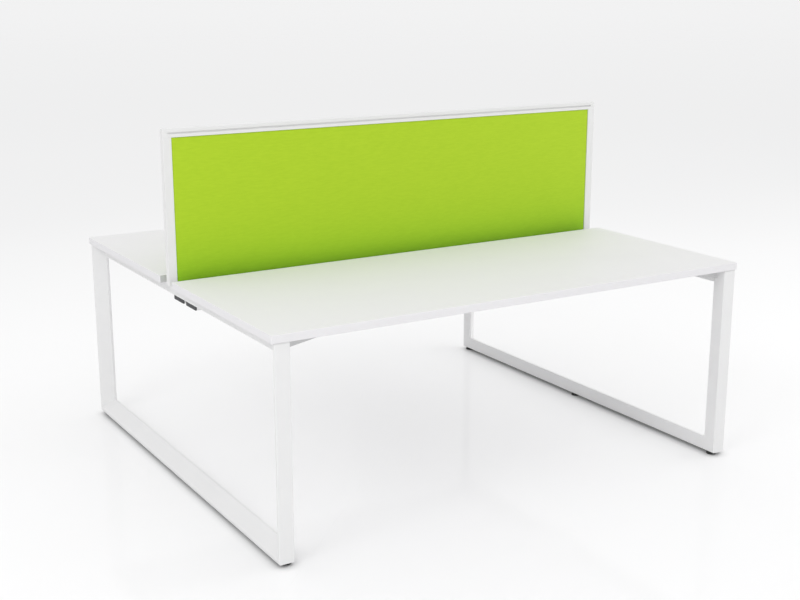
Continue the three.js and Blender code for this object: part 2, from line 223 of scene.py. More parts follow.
hardLooks = {
    "white_board": dict(colour=(0.799, 0.792, 0.806), shade=(0.784, 0.777, 0.791), rough=(0.5, 0.6),
                        specular=0.15, patchSize=3.0, grain=1500.0, relief=0.00004),
    "white_paint": dict(colour=(0.81, 0.81, 0.81), shade=(0.79, 0.79, 0.792), rough=(0.4, 0.52),
                        specular=0.32, patchSize=6.0, grain=700.0, relief=0.00006),
    # the brackets' grey is painted shade: it stands for the shade under the worktop where the brackets sit
    "grey_paint": dict(colour=(0.6, 0.6, 0.602), shade=(0.58, 0.58, 0.583), rough=(0.38, 0.5),
                       patchSize=6.0, grain=700.0, relief=0.00006),
    "dark_paint": dict(colour=(0.05, 0.052, 0.055), shade=(0.04, 0.041, 0.044), rough=(0.45, 0.6),
                       patchSize=9.0, grain=700.0, relief=0.00006),
    "grey_plastic": dict(colour=(0.72, 0.72, 0.72), shade=(0.69, 0.69, 0.69), rough=(0.45, 0.6),
                         patchSize=14.0, grain=1200.0, relief=0.00008),
    "white_plastic": dict(colour=(0.78, 0.78, 0.778), shade=(0.76, 0.76, 0.758), rough=(0.38, 0.5),
                          patchSize=14.0, grain=1200.0, relief=0.00006),
    "black_plastic": dict(colour=(0.014, 0.014, 0.014), shade=(0.02, 0.02, 0.02), rough=(0.5, 0.68),
                          patchSize=18.0, grain=1100.0, relief=0.0001),
    "zinc_steel": dict(colour=(0.60, 0.61, 0.62), shade=(0.50, 0.51, 0.53), rough=(0.28, 0.45), metal=1.0,
                       patchSize=60.0, grain=2400.0, relief=0.00003),
    "screen_frame": dict(colour=(0.78, 0.78, 0.778), shade=(0.765, 0.765, 0.763), rough=(0.33, 0.44),
                         patchSize=6.0, grain=800.0, relief=0.00005),
    "core_board": dict(colour=(0.42, 0.29, 0.17), shade=(0.34, 0.23, 0.13), rough=(0.85, 0.95),
                       patchSize=60.0, grain=500.0, relief=0.0002),
}

# the foot colour and its fade are painted shade that deepens the cloth towards its foot, next to the worktop
clothLook = dict(deep=(0.435, 0.65, 0.023), pale=(0.47, 0.68, 0.027), paintedFootShade=(0.57, 0.81, 0.58),
                 paintedShadeFade=0.095, rib=0.0035, warp=0.0016, relief=0.0003)


# ribbed lime cloth: slubs run pale to deep along the ribs, the hollows between ribs carry painted shade, and the
# whole carries painted shade that deepens towards the foot as exp(-height / fade)
def clothFinish(name, look):
    material, tree, shader, place = newMaterial(name)
    cloth = useGroup(tree, "cloth", Place=place, Rib=look["rib"], Warp=look["warp"])
    slubs = mixColour(tree, cloth["Slub"], rgba(look["deep"]), rgba(look["pale"]))
    # painted shade: the hollows between the ribs are darkened in colour by the rib height
    hollow = spread(tree, cloth["Height"], 0.85, 1.05)
    toned = mixColour(tree, 1.0, slubs, hollow, blend="MULTIPLY")
    # painted shade: the cloth's colour deepens towards the foot, where the worktop shades it
    height = addNode(tree, "ShaderNodeSeparateXYZ", {"Vector": place}).outputs["Z"]
    below = mathNode(tree, "DIVIDE", mathNode(tree, "SUBTRACT", screenFoot, height), look["paintedShadeFade"])
    paintedShadeTone = mixColour(tree, mathNode(tree, "EXPONENT", below), (1.0, 1.0, 1.0, 1.0), rgba(look["paintedFootShade"]))
    toned = mixColour(tree, 1.0, toned, paintedShadeTone, blend="MULTIPLY")
    tree.links.new(toned, shader.inputs["Base Color"])
    tree.links.new(spread(tree, cloth["Fleck"], 0.85, 1.0), shader.inputs["Roughness"])
    shader.inputs["Specular IOR Level"].default_value = 0.2
    shader.inputs["Sheen Weight"].default_value = 0.15
    shader.inputs["Sheen Roughness"].default_value = 0.5
    total = mathNode(tree, "MULTIPLY_ADD", cloth["Fleck"], 0.25, cloth["Height"])
    bumpInto(tree, shader, total, look["relief"])
    return material


# painted shade on the boards' inner edges: a grey that stands for the shade in the gap beside the screen
gapShadeLook = dict(colour=(0.57, 0.57, 0.575), reach=0.4 * mm)


# painted shade: the boards' inner edges, which face the shaded gap beside the screen, are painted grey where |y| is
# within a hair of the inner edge
def paintedGapShade(material, look):
    tree = material.node_tree
    base = tree.nodes["Principled BSDF"].inputs["Base Color"]
    tones = base.links[0].from_socket
    place = tree.nodes.new("ShaderNodeTexCoord").outputs["Object"]
    across = addNode(tree, "ShaderNodeSeparateXYZ", {"Vector": place}).outputs["Y"]
    innerEdge = boxOf("worktop_far")[0][1] + look["reach"]
    inGapShade = mathNode(tree, "LESS_THAN", mathNode(tree, "ABSOLUTE", across), innerEdge)
    tree.links.new(mixColour(tree, inGapShade, tones, rgba(look["colour"])), base)


screenFoot = boxOf("screen_fabric_near")[0][2]
finishes = {slot: hardFinish(slot, look) for slot, look in hardLooks.items()}
paintedGapShade(finishes["white_board"], gapShadeLook)
finishes["lime_fabric"] = clothFinish("lime_fabric", clothLook)
slotOf = {part["node"]: part["material_slot"] for part in frame["record"]["subparts"]}
for name, piece in nodes.items():
    piece.data.materials.clear()
    piece.data.materials.append(finishes[slotOf[name]])
print("finishes made:", len(finishes))


# shapes: grids of points worked out as whole arrays
weldDistance = 0.002 * mm
besideRound = 0.25 * mm  # flat strip kept beside each round, so that flat faces shade flat
arcSteps = 5


# quads between neighbouring rows of a grid; either way may close on itself
def gridQuads(rowCount, columnCount, closeRows, closeColumns=True):
    index = np.arange(rowCount * columnCount).reshape(rowCount, columnCount)
    index = np.vstack([index, index[:1]]) if closeRows else index
    index = np.hstack([index, index[:, :1]]) if closeColumns else index
    quads = np.stack([index[:-1, :-1], index[:-1, 1:], index[1:, 1:], index[1:, :-1]], axis=-1)
    return quads.reshape(-1, 4)


# outline with round corners: each arc is tangent to its corner's two edges and lies on the corner's bisector;
# corners may carry a leading axis, one outline for each row
def roundedOutline(corners, rounds, steps=arcSteps):
    corners = np.asarray(corners, float)
    rounds = np.broadcast_to(rounds, corners.shape[:-1])[..., None]
    back = np.roll(corners, 1, axis=-2) - corners
    ahead = np.roll(corners, -1, axis=-2) - corners
    back /= np.linalg.norm(back, axis=-1, keepdims=True)
    ahead /= np.linalg.norm(ahead, axis=-1, keepdims=True)
    half = np.arccos(np.clip((back * ahead).sum(-1, keepdims=True), -1.0, 1.0)) / 2
    reach = rounds / np.tan(half)
    bisector = (back + ahead) / np.linalg.norm(back + ahead, axis=-1, keepdims=True)
    centre = corners + bisector * rounds / np.sin(half)
    first = (corners + back * reach - centre)[..., None, :]
    last = (corners + ahead * reach - centre)[..., None, :]
    sweep = np.pi - 2 * half
    share = np.linspace(0.0, 1.0, steps + 1)
    early = (np.sin((1 - share) * sweep) / np.sin(sweep))[..., None]
    late = (np.sin(share * sweep) / np.sin(sweep))[..., None]
    arc = early * first + late * last + centre[..., None, :]
    before = (corners + back * (reach + besideRound))[..., None, :]
    after = (corners + ahead * (reach + besideRound))[..., None, :]
    return np.concatenate([before, arc, after], axis=-2).reshape(*corners.shape[:-2], -1, 2)


def rectangle(low, high):
    return np.array([[low[0], low[1]], [high[0], low[1]], [high[0], high[1]], [low[0], high[1]]])


# outline drawn in by one distance along its edges: each corner moves along its bisector by distance / sin(half
# its angle); distances with a leading axis give one outline for each row
def drawnIn(corners, distance):
    back = np.roll(corners, 1, axis=0) - corners
    ahead = np.roll(corners, -1, axis=0) - corners
    back /= np.linalg.norm(back, axis=-1, keepdims=True)
    ahead /= np.linalg.norm(ahead, axis=-1, keepdims=True)
    half = np.arccos((back * ahead).sum(-1, keepdims=True)) / 2
    bisector = (back + ahead) / np.linalg.norm(back + ahead, axis=-1, keepdims=True)
    return corners + bisector * distance / np.sin(half)


# outline carried straight along an axis; a station is one place, or one place for each point of the outline
def carried(outline, stations, axis):
    stations = np.asarray(stations, float)
    stations = stations[:, None] if stations.ndim == 1 else stations
    grid = np.empty((len(stations), outline.shape[-2], 3))
    grid[..., [k for k in range(3) if k != axis]] = outline
    grid[..., axis] = stations
    return grid


# plate with round corners and edges: the outline is drawn in by 1 - sin(t) and raised by 1 - cos(t) of the
# edge round, t from 0 to 90 degrees, at both faces; a groove beside the round marks a glued-on edge strip
def plateGrid(corners, low, high, axis, corner, edge, groove=0.0, steps=arcSteps):
    turn = np.linspace(0.0, np.pi / 2, steps + 1)
    inset = edge * (1 - np.sin(turn))
    height = edge * (1 - np.cos(turn))
    rim = edge + np.array([3.2, 2.4, 1.2]) * groove
    dip = np.array([0.0, 0.0, 1.0]) * groove
    flatRim = edge + np.array([besideRound])
    rim, dip = (rim, dip) if groove else (flatRim, np.zeros(1))
    inset = np.concatenate([rim, inset, [0.0]])
    height = np.concatenate([dip, height, [edge + besideRound]])
    inset = np.concatenate([inset, inset[::-1]])[:, None, None]
    stations = np.concatenate([low + height, high - height[::-1]])
    outline = roundedOutline(drawnIn(corners, inset), corner - inset[..., 0])
    return carried(outline, stations, axis)


# surface of revolution about an upright axis: a radius for each row and turn, a height for each row
def turnedGrid(radius, height, centre):
    radius = np.asarray(radius, float)
    turn = np.arange(radius.shape[1]) * 2 * np.pi / radius.shape[1]
    flat = [centre[0] + radius * np.cos(turn), centre[1] + radius * np.sin(turn)]
    return np.stack([*flat, np.broadcast_to(np.asarray(height)[:, None], radius.shape)], axis=-1)


# screw thread: the radius falls from crest to root as a triangle wave of height less turn, over one pitch
def threadRadius(height, columns, crest, depth, pitch):
    phase = (height[:, None] / pitch - np.arange(columns) / columns) % 1.0
    return crest - depth * np.abs(2 * phase - 1)


# one skin of a piece: its rows close on themselves, or its first and last rows are filled
def skin(grid, closeRows=False):
    return dict(grid=grid, closeRows=closeRows)


def shadeByAngle(mesh, degrees=32.0):
    mesh.shade_smooth()
    mesh.set_sharp_from_angle(angle=math.radians(degrees))


# skins joined into one object: shared points merged and faces turned outward
def meshObject(name, skins):
    points, faces, start = [], [], 0
    for part in skins:
        rowCount, columnCount = part["grid"].shape[:2]
        index = np.arange(rowCount * columnCount).reshape(rowCount, columnCount) + start
        points.append(part["grid"].reshape(-1, 3))
        faces += (gridQuads(rowCount, columnCount, part["closeRows"]) + start).tolist()
        faces += [] if part["closeRows"] else [index[0].tolist(), index[-1].tolist()]
        start += rowCount * columnCount
    mesh = bpy.data.meshes.new(name)
    mesh.from_pydata(np.concatenate(points).tolist(), [], faces)
    work = bmesh.new()
    work.from_mesh(mesh)
    bmesh.ops.remove_doubles(work, verts=work.verts, dist=weldDistance)
    bmesh.ops.dissolve_degenerate(work, edges=work.edges, dist=weldDistance)
    bmesh.ops.recalc_face_normals(work, faces=work.faces)
    work.to_mesh(mesh)
    work.free()
    shadeByAngle(mesh)
    made = bpy.data.objects.new(name, mesh)
    bpy.context.scene.collection.objects.link(made)
    return made


# a finished piece takes its node's finish and place: it rides on a body and stands for the node
def makePiece(name, skins, node, rides=body, holes=None):
    piece = meshObject(name, skins)
    if holes:
        drillPiece(piece, **holes)
    piece.data.materials.append(finishes[slotOf[node]])
    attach(piece, rides)
    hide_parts(node)
    return piece


# upright round holes, cut out by bits of the same turned shape
def drillPiece(piece, centres, width, low, high, columns=40):
    radius = np.full((2, columns), width / 2)
    bits = meshObject("bits", [skin(turnedGrid(radius, [low, high], centre)) for centre in centres])
    cut = piece.modifiers.new("holes", "BOOLEAN")
    cut.object = bits
    cut.operation = "DIFFERENCE"
    cut.solver = "EXACT"
    graph = bpy.context.evaluated_depsgraph_get()
    drilled = bpy.data.meshes.new_from_object(piece.evaluated_get(graph))
    piece.modifiers.clear()
    whole, piece.data = piece.data, drilled
    bpy.data.meshes.remove(whole)
    bpy.data.meshes.remove(bits.data)
    drilled.name = piece.name
    shadeByAngle(drilled)


# worktops: edged boards, with blind holes below for the screws
worktopShape = dict(corner=4 * mm, edge=2 * mm, stripGroove=0.14 * mm, hole=5.6 * mm, holeReach=0.3 * mm)


def screwPlaces(row):
    boxes = [boxOf(f"worktop_screw_{side}_{row}_{i}") for side in sides for i in (1, 2)]
    return [(low + high) / 2 for low, high in boxes], boxes[0][1][2]


def makeWorktop(row, shape):
    node = f"worktop_{row}"
    low, high = boxOf(node)
    centres, tip = screwPlaces(row)
    holes = dict(centres=centres, width=shape["hole"], low=low[2] - shape["edge"], high=tip + shape["holeReach"])
    outline = rectangle(low[:2], high[:2])
    board = plateGrid(outline, low[2], high[2], 2, shape["corner"], shape["edge"], shape["stripGroove"])
    makePiece(f"board_{row}", [skin(board)], node, holes=holes)


for row in rows:
    makeWorktop(row, worktopShape)
print("worktops made")

# loops: tube bevelled on its outside towards the window, legs mitred to the floor rail
loopShape = dict(bevelFlat=10 * mm, bevelLip=9 * mm, wall=2 * mm, round=3 * mm, boreRound=1 * mm,
                 bushHole=18.6 * mm, holeReach=4 * mm)


# a tube is its outer outline carried from end to end and its bore carried back, closed on itself
def tubeSkin(corners, axis, shape, endsOf):
    outer = roundedOutline(corners, shape["round"])
    bore = roundedOutline(drawnIn(corners, shape["wall"]), shape["boreRound"])
    outerEnds, boreEnds = endsOf(outer), endsOf(bore)
    rowsOut = carried(outer, np.array(outerEnds), axis)
    rowsBack = carried(bore, np.array(boreEnds[::-1]), axis)
    return skin(np.concatenate([rowsOut, rowsBack]), closeRows=True)


def level(outline, place):  # a square end: one place for every point of an outline
    return np.full(len(outline), place)


# the loops' section: full faces inside and on the rim, a flat and a bevel outside, a lip at the window
def loopSection(inner, outer, rim, window, shape):
    outward = np.sign(outer - inner)
    inward = np.sign(window - rim)
    flatEnd = rim + inward * shape["bevelFlat"]
    lipEnd = inner + outward * shape["bevelLip"]
    return np.array([[inner, rim], [outer, rim], [outer, flatEnd], [lipEnd, window], [inner, window]])


def legSection(side, row, shape):
    low, high = boxOf(f"leg_{side}_{row}")
    inner, outer = (high[0], low[0]) if side == "left" else (low[0], high[0])
    rim, window = (low[1], high[1]) if row == "near" else (high[1], low[1])
    return loopSection(inner, outer, rim, window, shape)


def makeLoop(side, shape):
    railLow, railHigh = boxOf(f"floor_rail_{side}")
    outerY = railHigh[1]
    footZ = railLow[2]
    for row in rows:
        node = f"leg_{side}_{row}"
        legTop = boxOf(node)[1][2]
        ends = lambda outline: [footZ + outerY - np.abs(outline[:, 1]), level(outline, legTop)]
        makePiece(f"tube_{node}", [tubeSkin(legSection(side, row, shape), 2, shape, ends)], node)
    inner, outer = (railHigh[0], railLow[0]) if side == "left" else (railLow[0], railHigh[0])
    railSection = loopSection(inner, outer, footZ, railHigh[2], shape)
    ends = lambda outline: [outline[:, 1] - footZ - outerY, outerY - (outline[:, 1] - footZ)]
    bushes = [boxOf(f"foot_bush_{side}_{place}") for place in ("near", "middle", "far")]
    holes = dict(centres=[(low + high) / 2 for low, high in bushes], width=shape["bushHole"],
                 low=footZ - shape["holeReach"], high=footZ + shape["holeReach"])
    node = f"floor_rail_{side}"
    makePiece(f"tube_{node}", [tubeSkin(railSection, 1, shape, ends)], node, holes=holes)


# top rails: slim bars between the legs, drilled for the worktop screws
topRailShape = dict(round=2.5 * mm, hole=5.6 * mm, holeReach=5 * mm)


def makeTopRail(side, shape):
    node = f"top_rail_{side}"
    low, high = boxOf(node)
    outline = roundedOutline(rectangle(low[[0, 2]], high[[0, 2]]), shape["round"])
    screws = [boxOf(f"worktop_screw_{side}_{row}_{i}") for row in rows for i in (1, 2)]
    holes = dict(centres=[(a + b) / 2 for a, b in screws], width=shape["hole"],
                 low=low[2] - shape["holeReach"], high=high[2] + shape["holeReach"])
    makePiece(f"bar_{node}", [skin(carried(outline, [low[1], high[1]], 1))], node, holes=holes)


# end caps: a piece that closes a tube, over a plug that grips inside it
plugShape = dict(wall=2.3 * mm, corner=1.2 * mm, edge=0.8 * mm)


def plugBelow(corners, low, seat, shape):
    return skin(plateGrid(drawnIn(corners, shape["wall"]), low, seat, 2, shape["corner"], shape["edge"]))


# leg caps: a thin plate with softened edges
legCapShape = dict(plate=3 * mm, corner=3 * mm, edge=0.8 * mm)


def makeLegCap(side, row, shape):
    node = f"leg_cap_{side}_{row}"
    low, high = boxOf(node)
    seat = high[2] - shape["plate"]
    section = legSection(side, row, loopShape)
    plate = plateGrid(section, seat, high[2], 2, shape["corner"], shape["edge"])
    makePiece(f"plug_{node}", [skin(plate), plugBelow(section, low[2], seat, plugShape)], node)


for side in sides:
    makeLoop(side, loopShape)
    makeTopRail(side, topRailShape)
    for row in rows:
        makeLegCap(side, row, legCapShape)
print("loop legs made")

# levelling feet: a fluted pad with a hollow underside on a threaded stud
footShape = dict(rim=4 * mm, rimRound=0.8 * mm, topRadius=13 * mm, topRound=0.8 * mm, hollow=0.8 * mm,
                 hollowRadius=11.5 * mm, flutes=24, fluteDepth=0.5 * mm, stud=5 * mm, threadDepth=0.7 * mm,
                 pitch=1.5 * mm, chamfer=1.2 * mm, padTop=10.7 * mm, columns=120)


# rows run from the middle of the underside, out round the rim, in over the cone and up the stud;
# flutes cut the rim's radius by a rounded cosine of the turn, fading out above and below
def makeFoot(side, place, shape):
    node = f"foot_{side}_{place}"
    low, high = boxOf(node)
    radius = (high[0] - low[0]) / 2
    round_, rim, padTop = shape["rimRound"], shape["rim"], shape["padTop"]
    turn = np.linspace(0.0, np.pi / 2, arcSteps + 1)
    lowerArc = np.stack([radius - round_ + round_ * np.sin(turn), round_ - round_ * np.cos(turn)], -1)
    slope = np.array([shape["topRadius"] - radius, padTop - rim])
    coneFoot = np.array([radius, rim])
    cone = coneFoot + np.array([0.06, 0.2, 0.5, 0.8, 0.92])[:, None] * slope
    topArc = np.array([[shape["topRadius"] - 0.2 * shape["topRound"], padTop - 0.3 * shape["topRound"]],
                       [shape["topRadius"] - shape["topRound"], padTop]])
    under = np.array([[0.0, shape["hollow"]], [shape["hollowRadius"], shape["hollow"]],
                      [shape["hollowRadius"] + shape["hollow"], 0.0], [radius - 2 * round_, 0.0]])
    wall = np.array([[radius, 0.4 * rim], [radius, 0.85 * rim], [radius - 0.02 * round_, rim]])
    profile = np.concatenate([under, lowerArc, wall, cone, topArc, [[shape["stud"] + 2 * besideRound, padTop]]])
    padRadius = np.repeat(profile[:, :1], shape["columns"], axis=1)
    around = np.arange(shape["columns"]) * 2 * np.pi / shape["columns"]
    fade = np.clip((profile[:, 0] - shape["topRadius"]) / (radius - shape["topRadius"]), 0.0, 1.0)
    fade *= (profile[:, 1] > 0.5 * round_)
    flute = np.maximum(np.cos(around * shape["flutes"]), 0.0) ** 2
    padRadius -= shape["fluteDepth"] * fade[:, None] * flute
    studHeight = np.arange(padTop, high[2] - low[2], shape["pitch"] / 8)
    studRadius = threadRadius(studHeight, shape["columns"], shape["stud"], shape["threadDepth"], shape["pitch"])
    toTip = high[2] - low[2] - studHeight
    studRadius = np.minimum(studRadius, shape["stud"] - np.maximum(shape["chamfer"] - toTip, 0.0)[:, None])
    radii = np.concatenate([padRadius, studRadius, np.zeros((1, shape["columns"]))])
    heights = np.concatenate([profile[:, 1], studHeight, [high[2] - low[2]]]) + low[2]
    makePiece(f"glide_{side}_{place}", [skin(turnedGrid(radii, heights, (low + high) / 2))], node, rides=node)


# screws: a pan head with a cross recess below the top rail, a threaded shank up into the worktop
screwShape = dict(headHeight=3 * mm, headRound=1.3 * mm, recess=1.7 * mm, recessReach=3.0 * mm, recessWidth=0.55 * mm,
                  shank=2.5 * mm, threadDepth=0.6 * mm, pitch=2.2 * mm, columns=48)


# rows run from the middle of the head, out over it and up the shank; the recess is sunk where the shorter
# of |x| and |y| is under its half width, and grows shallow towards its ends
def makeScrew(node, shape):
    low, high = boxOf(node)
    columns, head, round_ = shape["columns"], (high[0] - low[0]) / 2, shape["headRound"]
    around = np.arange(columns) * 2 * np.pi / columns
    reach = np.concatenate([np.linspace(0.0, shape["recessReach"], 12), [head - round_]])
    turn = np.linspace(0.0, np.pi / 2, arcSteps + 1)[1:]
    face = np.concatenate([reach, head - round_ + round_ * np.sin(turn), [head, head - 0.3 * mm]])
    rise = np.concatenate([0 * reach, round_ - round_ * np.cos(turn), [shape["headHeight"] - 0.3 * mm, shape["headHeight"]]])
    radius = np.repeat(face[:, None], columns, axis=1)
    height = np.repeat(rise[:, None], columns, axis=1)
    nearest = np.minimum(np.abs(radius * np.cos(around)), np.abs(radius * np.sin(around)))
    wall = np.clip((1.6 * shape["recessWidth"] - nearest) / (0.6 * shape["recessWidth"]), 0.0, 1.0)
    height += shape["recess"] * wall * np.clip(1.3 * (1 - radius / shape["recessReach"]), 0.0, 1.0)
    shankHeight = np.arange(shape["headHeight"], high[2] - low[2] - shape["shank"], shape["pitch"] / 6)
    shank = threadRadius(shankHeight, columns, shape["shank"], shape["threadDepth"], shape["pitch"])
    radius = np.concatenate([radius, shank, np.zeros((1, columns))])
    grid = turnedGrid(radius, np.zeros(len(radius)), (low + high) / 2)
    tall = np.repeat(np.append(shankHeight, high[2] - low[2])[:, None], columns, axis=1)
    grid[..., 2] = low[2] + np.concatenate([height, tall])
    makePiece(f"fixing_{node}", [skin(grid)], node)


for side in sides:
    for place in ("near", "middle", "far"):
        makeFoot(side, place, footShape)
    for row in rows:
        for i in (1, 2):
            makeScrew(f"worktop_screw_{side}_{row}_{i}", screwShape)
print("feet and screws made")

# brackets: folded sheet, a flange under the worktop and a web that tapers away from the leg
bracketShape = dict(sheet=3 * mm, tip=4 * mm, bend=3.5 * mm, bendInside=1 * mm, cutEdge=0.5 * mm)


# the section is an L whose web's lower edge rises evenly from the leg to the tip
def makeBracket(side, row, shape):
    node = f"bracket_{side}_{row}"
    low, high = boxOf(node)
    top, sheet, out = high[2], shape["sheet"], rows[row]
    front, back = (high[1], low[1]) if out > 0 else (low[1], high[1])
    atLeg, atTip = (high[0], low[0]) if sides[side] > 0 else (low[0], high[0])
    drop = np.array([low[2], top - shape["tip"]])
    flat = np.ones(2)
    y = [front, front, front - out * sheet, front - out * sheet, back, back]
    z = [top * flat, drop, drop, (top - sheet) * flat, (top - sheet) * flat, top * flat]
    corners = np.stack([np.array([[a, a] for a in y]), np.array(z)], -1).transpose(1, 0, 2)
    edge = shape["cutEdge"]
    outline = roundedOutline(corners, [shape["bend"], edge, edge, shape["bendInside"], edge, edge])
    makePiece(f"folded_{node}", [skin(carried(outline, [atLeg, atTip], 0))], node)


# channels: one strip folded to a trough with inturned lips, the outer wall taller than the inner one
channelShape = dict(sheet=2 * mm, lip=8 * mm, innerDrop=5 * mm, bend=2.8 * mm, bendInside=0.8 * mm, cutEdge=0.4 * mm)


def makeChannel(row, shape):
    node = f"cable_channel_{row}"
    low, high = boxOf(node)
    sheet, lip, out = shape["sheet"], shape["lip"], rows[row]
    outer, inner = (high[1], low[1]) if out > 0 else (low[1], high[1])
    floor, outerTop = low[2], high[2]
    innerTop = outerTop - shape["innerDrop"]
    step, reach = out * sheet, out * lip
    corners = [(inner, floor), (outer, floor), (outer, outerTop), (outer - reach, outerTop),
               (outer - reach, outerTop - sheet), (outer - step, outerTop - sheet), (outer - step, floor + sheet),
               (inner + step, floor + sheet), (inner + step, innerTop - sheet), (inner + reach, innerTop - sheet),
               (inner + reach, innerTop), (inner, innerTop)]
    bend, inside, edge = shape["bend"], shape["bendInside"], shape["cutEdge"]
    rounds = [bend, bend, bend, edge, edge, inside, inside, inside, inside, edge, edge, bend]
    outline = roundedOutline(corners, rounds)
    makePiece(f"folded_{node}", [skin(carried(outline, [low[0], high[0]], 0))], node)


# channel ends: dark plates with softened edges
channelEndShape = dict(corner=3 * mm, edge=0.7 * mm)


def makeChannelEnd(side, row, shape):
    node = f"channel_end_{side}_{row}"
    low, high = boxOf(node)
    plate = plateGrid(rectangle(low[1:], high[1:]), low[0], high[0], 0, shape["corner"], shape["edge"])
    makePiece(f"plate_{node}", [skin(plate)], node)


# saddles: a plate across both channels with a fin that drops between them
saddleShape = dict(plate=5 * mm, fin=10.7 * mm, edge=0.8 * mm)


def makeSaddle(place, shape):
    node = f"screen_saddle_{place}"
    low, high = boxOf(node)
    seat, fin = high[2] - shape["plate"], shape["fin"]
    corners = [(low[1], high[2]), (low[1], seat), (-fin, seat), (-fin, low[2]),
               (fin, low[2]), (fin, seat), (high[1], seat), (high[1], high[2])]
    outline = roundedOutline(corners, shape["edge"])
    makePiece(f"cast_{node}", [skin(carried(outline, [low[0], high[0]], 0))], node)


for row in rows:
    makeChannel(row, channelShape)
    for side in sides:
        makeBracket(side, row, bracketShape)
        makeChannelEnd(side, row, channelEndShape)
for place in ("left", "middle", "right"):
    makeSaddle(place, saddleShape)
print("brackets, channels and saddles made")

# screen frame: posts with corner caps, a head rail with a tool slot in each face, a grooved sill rail
postShape = dict(wall=2 * mm, round=2 * mm, boreRound=0.6 * mm)
cornerShape = dict(round=2 * mm, seatEdge=0.3 * mm, endRound=1.6 * mm, leastRound=0.05 * mm)
headRailShape = dict(slotRise=11 * mm, slotHeight=5.5 * mm, slotDepth=5 * mm, groove=7.3 * mm, lap=6 * mm,
                     round=2 * mm, slotEdge=0.6 * mm, cutEdge=0.4 * mm)
sillRailShape = dict(floor=3 * mm, groove=7.3 * mm, edge=0.8 * mm, cutEdge=0.4 * mm)


def makePost(side, shape):
    node = f"screen_post_{side}"
    low, high = boxOf(node)
    ends = lambda outline: [level(outline, low[2]), level(outline, high[2])]
    makePiece(f"tube_{node}", [tubeSkin(rectangle(low[:2], high[:2]), 2, shape, ends)], node)


# a corner cap is the head rail's outline carried to the screen's end, where it is drawn in by 1 - sin(t) of
# the end's round as it nears the end by cos(t), t from 90 degrees to 0
def makeCorner(side, shape):
    node = f"screen_post_cap_{side}"
    low, high = boxOf(node)
    seat = boxOf("screen_head_rail")[0][2]
    joint, end = (low[0], high[0]) if sides[side] > 0 else (high[0], low[0])
    turn = np.linspace(np.pi / 2, 0.0, arcSteps + 1)
    inset = np.append(0.0, shape["endRound"] * (1 - np.sin(turn)))[:, None, None]
    stations = np.append(joint, end - sides[side] * shape["endRound"] * (1 - np.cos(turn)))
    inward = np.array([[1, 0], [-1, 0], [-1, -1], [1, -1]])
    corners = rectangle((low[1], seat), high[1:]) + inset * inward
    rounds = np.array([shape["seatEdge"], shape["seatEdge"], shape["round"], shape["round"]])
    outline = roundedOutline(corners, np.maximum(rounds - inset[..., 0], shape["leastRound"]))
    plug = plugBelow(rectangle(low[:2], high[:2]), low[2], seat, plugShape)
    makePiece(f"corner_{node}", [skin(carried(outline, stations, 0)), plug], node)


def makeHeadRail(shape):
    low, high = boxOf("screen_head_rail")
    half, foot, top = high[1], low[2], high[2]
    slotLow = foot + shape["slotRise"]
    slotHigh = slotLow + shape["slotHeight"]
    slotFloor, groove, lap = half - shape["slotDepth"], shape["groove"], foot + shape["lap"]
    edge, slotEdge, round_ = shape["cutEdge"], shape["slotEdge"], shape["round"]
    oneSide = [(groove, lap, edge), (groove, foot, edge), (half, foot, slotEdge), (half, slotLow, slotEdge),
               (slotFloor, slotLow, edge), (slotFloor, slotHigh, edge), (half, slotHigh, slotEdge), (half, top, round_)]
    right = np.array(oneSide)
    left = right[::-1] * np.array([-1, 1, 1])
    section = np.concatenate([right, left])
    outline = roundedOutline(section[:, :2], section[:, 2])
    makePiece("section_screen_head_rail", [skin(carried(outline, [low[0], high[0]], 0))], "screen_head_rail")


def makeSillRail(shape):
    low, high = boxOf("screen_sill_rail")
    half, groove, floor = high[1], shape["groove"], low[2] + shape["floor"]
    edge, cut = shape["edge"], shape["cutEdge"]
    right = np.array([(groove, floor, cut), (groove, high[2], cut), (half, high[2], edge), (half, low[2], edge)])
    left = right[::-1] * np.array([-1, 1, 1])
    section = np.concatenate([right, left])
    outline = roundedOutline(section[:, :2], section[:, 2])
    makePiece("section_screen_sill_rail", [skin(carried(outline, [low[0], high[0]], 0))], "screen_sill_rail")


for side in sides:
    makePost(side, postShape)
    makeCorner(side, cornerShape)
makeHeadRail(headRailShape)
makeSillRail(sillRailShape)
print("screen frame made")

# screen fabric: ribbed cloth stretched over thin padding, its edges rolled in behind the frame
fabricShape = dict(roll=3.5 * mm, rollDepth=2.4 * mm, backGap=0.05 * mm, ribDepth=0.10 * mm, ribRows=4, crossRib=18 * mm,
                   slack=0.12 * mm)


